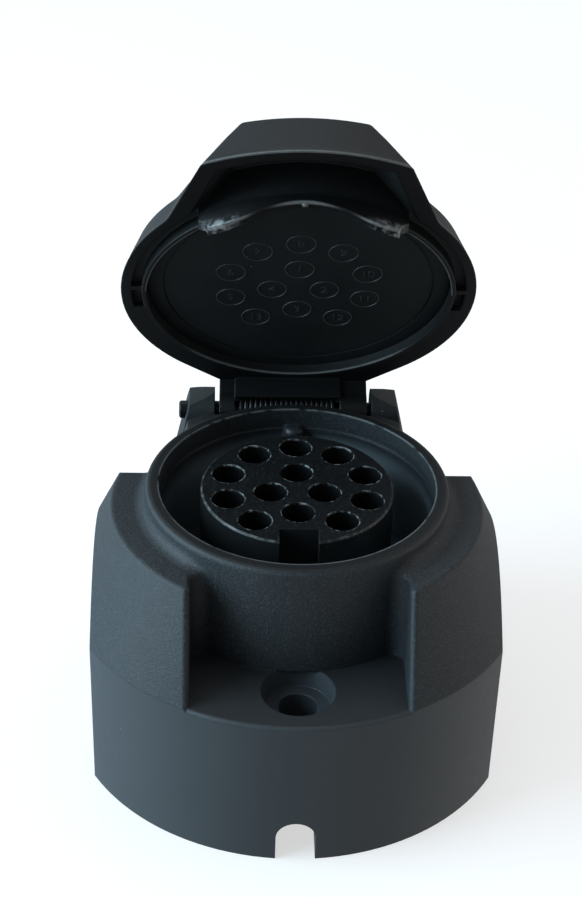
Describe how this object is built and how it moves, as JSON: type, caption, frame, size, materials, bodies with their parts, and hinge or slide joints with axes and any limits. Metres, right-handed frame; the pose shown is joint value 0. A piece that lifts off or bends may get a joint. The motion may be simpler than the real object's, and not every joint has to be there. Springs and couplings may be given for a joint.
{
  "type": "trailer wiring connector",
  "caption": "Round towing socket with a hinged sprung lid, a finger pocket, three mounting holes and an insulated contact block for the vehicle side of trailer wiring.",
  "frame": {"origin": "centre of the mounting face, on the axis of the mouth", "axes": "+Z out of the mouth, -Y to the front with the finger pocket and drain, hinge on the +Y side"},
  "size_m": [0.073, 0.0844, 0.1165],
  "materials": {
    "housing_plastic": "spark-eroded grain",
    "lid_plastic": "fine grain",
    "disc_rubber": "satin",
    "insert_plastic": "fine grain",
    "gasket_rubber": "matte",
    "contact_brass": "turned",
    "pin_steel": "blackened",
    "spring_steel": "drawn wire",
    "screw_steel": "zinc plated"
  },
  "bodies": {
    "socket": {"housing": "housing_plastic", "hinge_pin": "pin_steel", "lid_spring": "spring_steel", "contact_insert": "insert_plastic", "contact_retainer": "insert_plastic", "terminal_screws": "screw_steel", "retainer_screws": "screw_steel", "rear_gasket": "gasket_rubber", "contact_01": "contact_brass", "contact_02": "contact_brass", "contact_03": "contact_brass", "contact_04": "contact_brass", "contact_05": "contact_brass", "contact_06": "contact_brass", "contact_07": "contact_brass", "contact_08": "contact_brass", "contact_09": "contact_brass", "contact_10": "contact_brass", "contact_11": "contact_brass", "contact_12": "contact_brass", "contact_13": "contact_brass"},
    "lid": {"lid": "lid_plastic", "lid_disc": "disc_rubber"}
  },
  "joints": [
    {"name": "lid_hinge", "type": "hinge", "parent": "socket", "child": "lid", "pos_m": [0, 0.0342, 0.0455], "axis": [-1, 0, 0], "range_deg": [-61.74, 43], "deforming": ["lid_spring"]}
  ]
}
